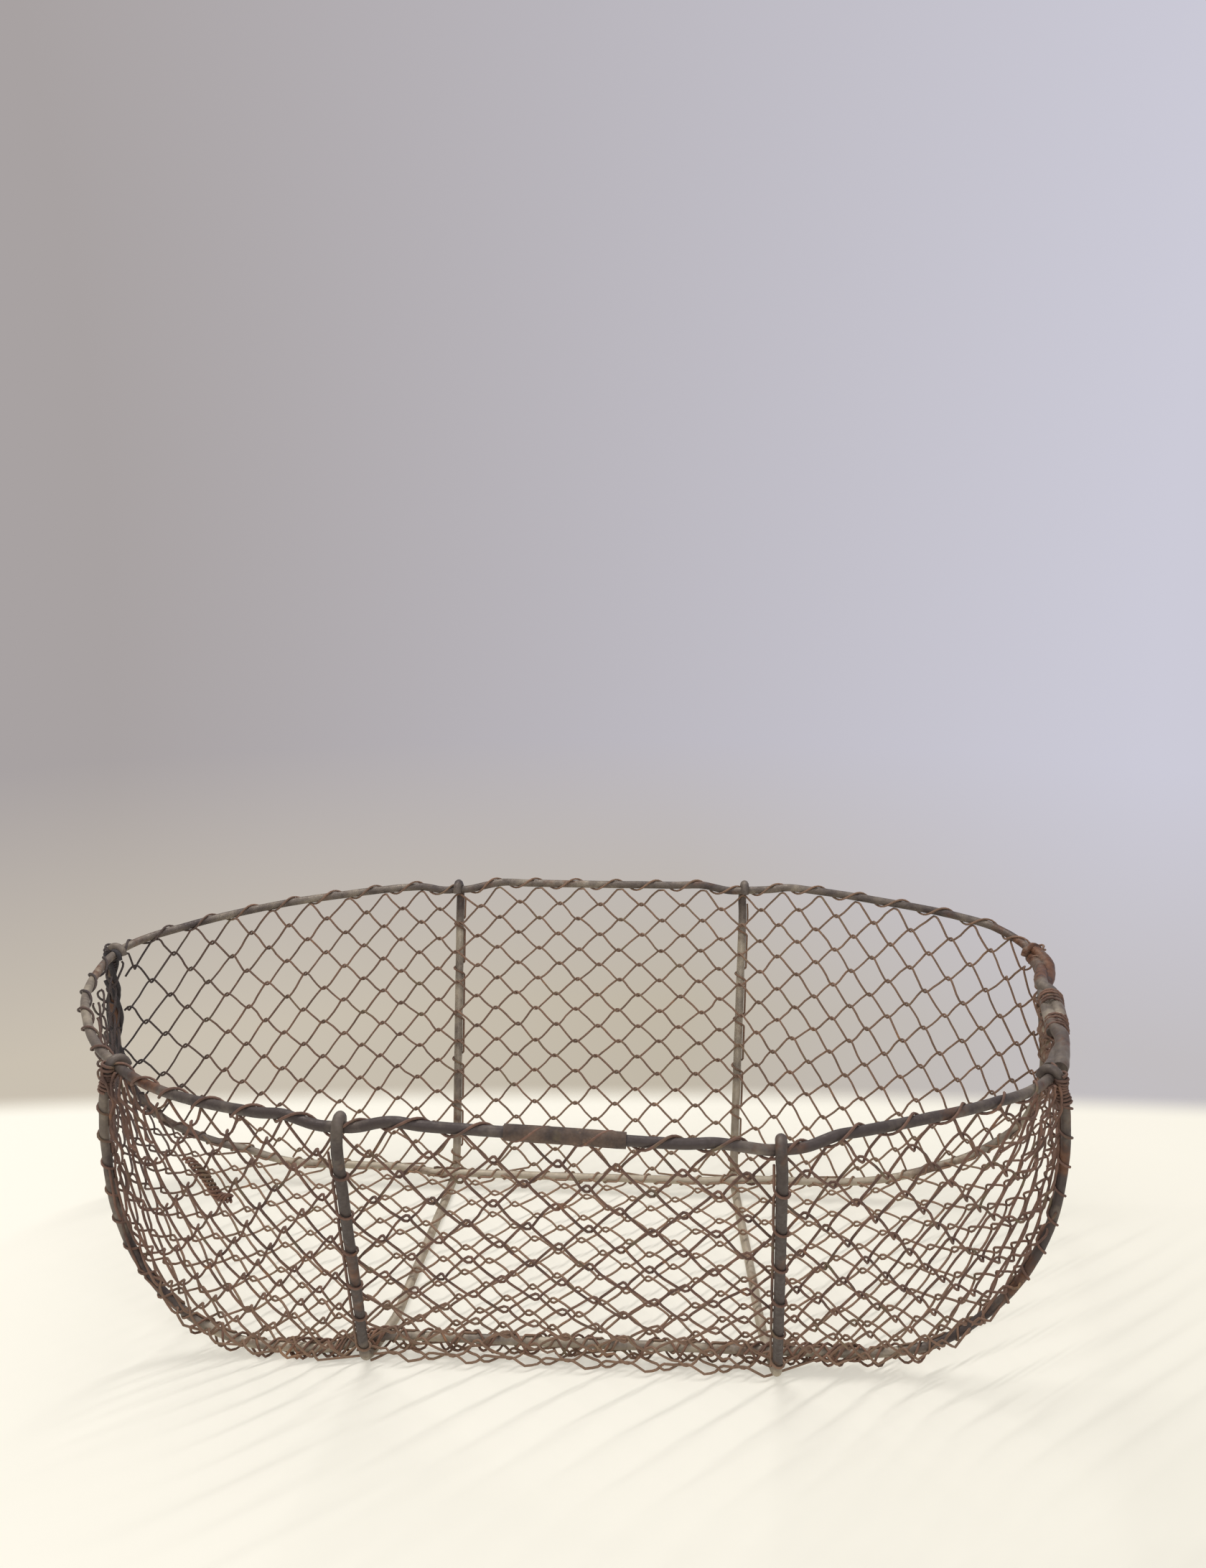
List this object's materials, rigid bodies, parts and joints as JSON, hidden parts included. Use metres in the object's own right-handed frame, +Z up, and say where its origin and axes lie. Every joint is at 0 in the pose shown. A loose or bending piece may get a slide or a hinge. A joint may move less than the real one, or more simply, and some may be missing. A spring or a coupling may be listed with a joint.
{
  "type": "wire basket",
  "caption": "Open oblong wire basket: a bent steel rod frame of rim, cross ribs and keel ribs, lined with rusted diamond netting that is tied on with wire.",
  "frame": {"origin": "on the table under the middle of the basket's bounding box", "axes": "+X along the basket to its right end, +Y to its back, +Z up"},
  "size_m": [0.6588, 0.3678, 0.2044],
  "materials": {
    "frame_rod": "weathered galvanised rod with brown rust",
    "net_wire": "dark rusted wire",
    "tie_wire": "orange-brown rusted wire"
  },
  "bodies": {
    "root": {"rim": "frame_rod", "left_cross_rib": "frame_rod", "right_cross_rib": "frame_rod", "front_keel_rib": "frame_rod", "back_keel_rib": "frame_rod", "front_left_net": "net_wire", "front_middle_net": "net_wire", "front_right_net": "net_wire", "back_left_net": "net_wire", "back_middle_net": "net_wire", "back_right_net": "net_wire", "floor_net": "net_wire", "left_end_low_net": "net_wire", "left_end_high_net": "net_wire", "left_end_upright_net": "net_wire", "right_end_low_net": "net_wire", "right_end_high_net": "net_wire", "right_end_upright_net": "net_wire", "front_left_keel_tie": "tie_wire", "front_right_keel_tie": "tie_wire", "back_left_keel_tie": "tie_wire", "back_right_keel_tie": "tie_wire", "front_left_corner_tie": "tie_wire", "front_right_corner_tie": "tie_wire", "back_left_corner_tie": "tie_wire", "back_right_corner_tie": "tie_wire", "rim_lap_front_tie": "tie_wire", "rim_lap_back_tie": "tie_wire"}
  },
  "joints": []
}
